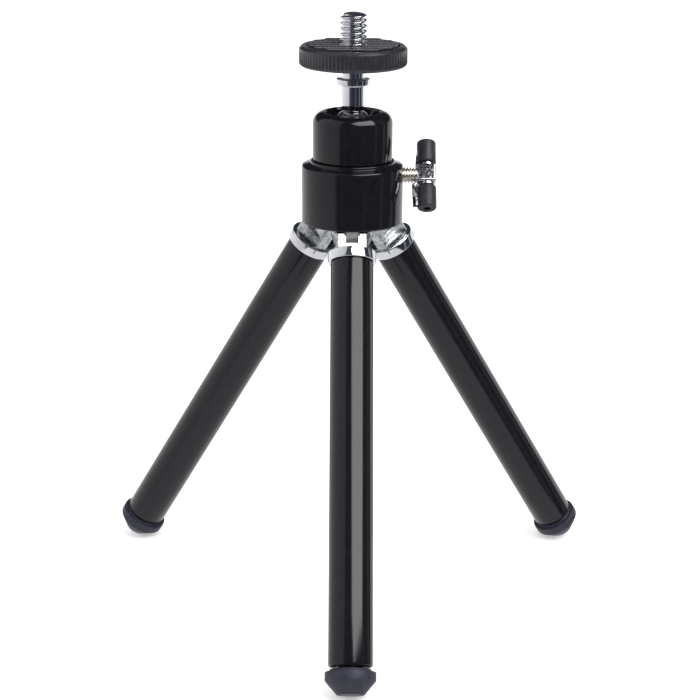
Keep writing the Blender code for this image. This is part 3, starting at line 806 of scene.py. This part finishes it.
def add_leg(name, fork, band):
    place, body = LEG[name], f"leg_{name}"
    sliding = f"{body}_extension"
    casting = copied(fork, f"leg_fork_casting_{name}")
    laid(casting, place, body, LOOKS["fork"], "chrome", f"leg_fork_{name}")
    ring = copied(band, f"leg_band_{name}")
    laid(ring, place, body, LOOKS["polished"], "chrome")

    low, high = extent(f"hinge_pin_{name}", place)
    pin_r = high.x
    pin = turned(f"hinge_rivet_{name}", [
        (0, high.y), (pin_r, high.y, 0.3), (pin_r, low.y, 0.3), (0, low.y)
    ], SMALL)
    pin.data.transform(Matrix.Rotation(-math.pi / 2, 4, "X"))
    laid(pin, place, body, LOOKS["steel"], "steel", f"hinge_pin_{name}")

    low, high = extent(f"outer_tube_{name}", place)
    outer, top, bottom = high.x, high.z, low.z
    bore, mouth_r = outer - 0.5, 3.75
    tube = turned(f"leg_tube_{name}", [
        (bore, top), (outer, top, 0.08), *between(top, bottom, outer, 8),
        (outer, bottom, 0.75), (mouth_r, bottom, 0.2), (mouth_r, bottom + 0.5, 0.15), (bore, bottom + 0.5),
    ], MEDIUM)
    laid(tube, place, body, LOOKS["enamel"], "black_enamel", f"outer_tube_{name}")

    low, high = extent(f"guide_bush_{name}", place)
    bush = turned(f"mouth_bush_{name}", [
        (3.6, high.z, 0.15), (high.x, high.z, 0.2), (high.x, low.z, 0.2), (3.6, low.z, 0.15),
    ], SMALL)
    laid(bush, place, body, LOOKS["grip"], "black_plastic", f"guide_bush_{name}")

    low, high = extent(f"inner_tube_{name}", place)
    inner = turned(f"sliding_tube_{name}", [
        (high.x - 0.5, high.z), (high.x, high.z, 0.1), *between(high.z, low.z, high.x, 6),
        (high.x, low.z, 0.1), (high.x - 0.5, low.z),
    ], MEDIUM)
    laid(inner, place, sliding, LOOKS["chrome"], "chrome", f"inner_tube_{name}")

    sleeve_low, sleeve_high = extent(f"friction_sleeve_{name}", place)
    step = high.z + 0.3
    sleeve = turned(f"friction_plug_{name}", [
        (2.0, sleeve_high.z), (sleeve_high.x, sleeve_high.z, 0.3), (sleeve_high.x, sleeve_low.z, 0.15),
        (high.x + 0.2, sleeve_low.z), (high.x + 0.2, step), (2.0, step),
    ], SMALL)
    laid(sleeve, place, sliding, LOOKS["nylon"], "nylon", f"friction_sleeve_{name}")

    low, high = extent(f"foot_{name}", place)
    flange_r, tip, plug_top = high.x - 0.03, low.z, high.z
    flange_bottom, flange_top = tip + 3.12, tip + 5.1
    neck_top = bottom - 0.3
    plug_r, neck_r, tip_r = 2.75, 4.7, 3.05
    foot = turned(f"foot_cap_{name}", [
        (0, plug_top), (plug_r, plug_top, 0.4), (plug_r, neck_top), (neck_r, neck_top, 0.2),
        (neck_r, flange_top, 0.1), (flange_r, flange_top, 0.28), (flange_r, flange_bottom, 0.3),
        (tip_r, tip, 0.16), (0, tip),
    ], MEDIUM)
    laid(foot, place, sliding, LOOKS["foot"], "foot_rubber", f"foot_{name}")


# ---------------------------------------------------------------- the studio


def add_floor():
    bm = bmesh.new()
    bmesh.ops.create_circle(bm, cap_ends=True, radius=8.0, segments=64)
    floor = object_from(bm, "studio_floor", scale=1.0)
    nodes = Nodes("paper_floor")
    nodes.colour(nodes.noise(60.0), (0.90, 0.90, 0.90), (0.93, 0.93, 0.93))
    nodes.set(Roughness=0.9, Specular_IOR_Level=0.0, Emission_Color=(1, 1, 1, 1), Emission_Strength=0.35)
    floor.data.materials.append(nodes.material)
    floor.visible_glossy = False


# The room as polished parts mirror it. Bearings are degrees from the front, positive to the right,
# and heights are degrees above the horizon.
WALL = (-122, -38)  # a pale wall on the left, dimmer towards the front
WALL_LIGHT = (0.95, 0.60)
WALL_BLUR = 6
BACKDROP = 118  # the white backdrop starts at this bearing on both sides
BACKDROP_TOP = 8  # and the room above it is dark
BACKDROP_LIGHT = 1.0
BACKDROP_BLUR = 4
STRIPS = ((-25, -21, 0.14), (24, 32, 0.09), (66, 74, 0.20), (97, 106, 0.32))  # left, right, brightness
STRIP_BLUR = 2
ROOM_DARK = (0.030, 0.034, 0.050)
TABLE_EDGE = -27  # below this height the white table fills the view
TABLE_LIGHT = 0.85
TABLE_BLUR = 3
SOFTBOX = ((17, 29), (68, 20), (108, 64), (60, 74), (-5, 50))  # its corners: bearing and height
SOFTBOX_LIGHT = 6.0
SOFTBOX_BLUR = 0.045


def towards(bearing, height):
    """The direction of a bearing and a height."""
    bearing, height = math.radians(bearing), math.radians(height)
    flat = math.cos(height)
    return Vector((flat * math.sin(bearing), -flat * math.cos(bearing), math.sin(height)))


class Sky:
    """Sums of soft-edged shapes, built from math nodes of a world's tree."""

    def __init__(self, tree):
        self.tree = tree
        self.direction = tree.nodes.new("ShaderNodeTexCoord").outputs["Generated"]
        split = tree.nodes.new("ShaderNodeSeparateXYZ")
        tree.links.new(self.direction, split.inputs["Vector"])
        ahead = self.math("MULTIPLY", split.outputs["Y"], -1.0)
        in_degrees = math.degrees(1)
        self.bearing = self.math("MULTIPLY", self.math("ARCTAN2", split.outputs["X"], ahead), in_degrees)
        self.height = self.math("MULTIPLY", self.math("ARCSINE", split.outputs["Z"]), in_degrees)

    def math(self, operation, *values):
        node = self.tree.nodes.new("ShaderNodeMath")
        node.operation = operation
        for i, value in enumerate(values):
            if isinstance(value, (int, float)):
                node.inputs[i].default_value = value
            else:
                self.tree.links.new(value, node.inputs[i])
        return node.outputs["Value"]

    def rise(self, value, start, end, low=0.0, high=1.0, kind="SMOOTHSTEP"):
        """Goes from low to high as value goes from start to end."""
        node = self.tree.nodes.new("ShaderNodeMapRange")
        node.interpolation_type = kind
        for socket, number in (("From Min", start), ("From Max", end), ("To Min", low), ("To Max", high)):
            node.inputs[socket].default_value = number
        self.tree.links.new(value, node.inputs["Value"])
        return node.outputs["Result"]

    def band(self, left, right, blur):
        """One between two bearings, with soft edges."""
        inside = self.rise(self.bearing, left - blur, left + blur)
        outside = self.rise(self.bearing, right - blur, right + blur, 1.0, 0.0)
        return self.math("MULTIPLY", inside, outside)

    def panel(self, corners, blur):
        """One inside a many-sided panel whose corners go round it."""
        shape = 1.0
        points = [towards(*corner) for corner in corners]
        for here, there in zip(points, points[1:] + points[:1]):
            dot = self.tree.nodes.new("ShaderNodeVectorMath")
            dot.operation = "DOT_PRODUCT"
            dot.inputs[1].default_value = here.cross(there).normalized()
            self.tree.links.new(self.direction, dot.inputs[0])
            shape = self.math("MULTIPLY", shape, self.rise(dot.outputs["Value"], -blur, blur))
        return shape


def mirrored_light(sky):
    """How bright the room is in every direction, as the gloss of the parts sees it."""
    wall = sky.rise(sky.bearing, *WALL, *WALL_LIGHT, kind="LINEAR")
    light = sky.math("MULTIPLY", sky.band(*WALL, WALL_BLUR), wall)
    behind = sky.math("SUBTRACT", 1.0, sky.band(-BACKDROP, BACKDROP, STRIP_BLUR))
    lowest, highest = BACKDROP_TOP - BACKDROP_BLUR, BACKDROP_TOP + BACKDROP_BLUR
    behind = sky.math("MULTIPLY", behind, sky.rise(sky.height, lowest, highest, 1.0, 0.0))
    light = sky.math("MAXIMUM", light, sky.math("MULTIPLY", behind, BACKDROP_LIGHT))
    for left, right, brightness in STRIPS:
        strip = sky.math("MULTIPLY", sky.band(left, right, STRIP_BLUR), brightness)
        light = sky.math("MAXIMUM", light, strip)
    lowest, highest = TABLE_EDGE - TABLE_BLUR, TABLE_EDGE + TABLE_BLUR
    table = sky.rise(sky.height, lowest, highest, TABLE_LIGHT, 0.0)
    light = sky.math("MAXIMUM", light, table)
    softbox = sky.math("MULTIPLY", sky.panel(SOFTBOX, SOFTBOX_BLUR), SOFTBOX_LIGHT)
    return sky.math("MAXIMUM", light, softbox)


def add_world():
    """Plain white for the eye and for matt surfaces, and the room for glossy reflections."""
    world = bpy.data.worlds.new("studio")
    bpy.context.scene.world = world
    world.use_nodes = True
    tree = world.node_tree
    tree.nodes.clear()
    sky = Sky(tree)
    room = tree.nodes.new("ShaderNodeBackground")
    room.inputs["Color"].default_value = (1, 1, 1, 1)
    tree.links.new(mirrored_light(sky), room.inputs["Strength"])
    dark = tree.nodes.new("ShaderNodeBackground")
    dark.inputs["Color"].default_value = (*ROOM_DARK, 1)
    glossy = tree.nodes.new("ShaderNodeAddShader")
    tree.links.new(room.outputs["Background"], glossy.inputs[0])
    tree.links.new(dark.outputs["Background"], glossy.inputs[1])
    plain = tree.nodes.new("ShaderNodeBackground")
    plain.inputs["Color"].default_value = (1, 1, 1, 1)
    ray = tree.nodes.new("ShaderNodeLightPath")
    mix = tree.nodes.new("ShaderNodeMixShader")
    tree.links.new(ray.outputs["Is Glossy Ray"], mix.inputs["Fac"])
    tree.links.new(plain.outputs["Background"], mix.inputs[1])
    tree.links.new(glossy.outputs["Shader"], mix.inputs[2])
    output = tree.nodes.new("ShaderNodeOutputWorld")
    tree.links.new(mix.outputs["Shader"], output.inputs["Surface"])


def add_softbox(name, direction, distance, size, radiance):
    """A soft panel that faces the head from a direction, with a given brightness of its surface."""
    light = bpy.data.lights.new(name, "AREA")
    light.shape = "RECTANGLE"
    light.size, light.size_y = size
    light.energy = radiance * math.pi * size[0] * size[1]
    lamp = bpy.data.objects.new(name, light)
    direction = towards(*direction)
    lamp.location = HEAD.translation + direction * distance
    lamp.rotation_euler = direction.to_track_quat("Z", "Y").to_euler()
    lamp.visible_camera = False
    lamp.visible_glossy = False  # the room's own softbox is what gloss mirrors
    bpy.context.scene.collection.objects.link(lamp)


def add_camera():
    """The camera's place and turn, from the head's axis at the height of the leg hinges."""
    place = HEAD.translation + Vector((-2.7, -463.0, 112.0)) * MM
    pitch, yaw, roll = math.radians(17.2), math.radians(0.3), math.radians(0.4)
    data = bpy.data.cameras.new("camera")
    data.lens = 102.9
    data.clip_start, data.clip_end = 0.01, 50.0
    camera = bpy.data.objects.new("camera", data)
    turn = Matrix.Rotation(-yaw, 4, "Z") @ Matrix.Rotation(math.pi / 2 - pitch, 4, "X")
    camera.matrix_world = Matrix.Translation(place) @ turn @ Matrix.Rotation(roll, 4, "Z")
    bpy.context.scene.collection.objects.link(camera)
    bpy.context.scene.camera = camera


def main():
    add_camera()
    add_housing()
    add_collar()
    add_hub()
    add_hub_screw()
    add_clamp()
    add_ball()
    add_stud()
    add_disc()
    add_pad()
    add_lock_screw()
    add_handle()
    add_grips()
    fork, band = fork_meshes()
    for name in LEGS:
        add_leg(name, fork, band)
    bpy.data.objects.remove(fork)
    bpy.data.objects.remove(band)
    add_floor()
    add_world()
    add_softbox("key_light", (45, 52), 0.9, (0.75, 0.70), 3.0)
    bpy.context.scene.view_settings.view_transform = "Standard"


main()
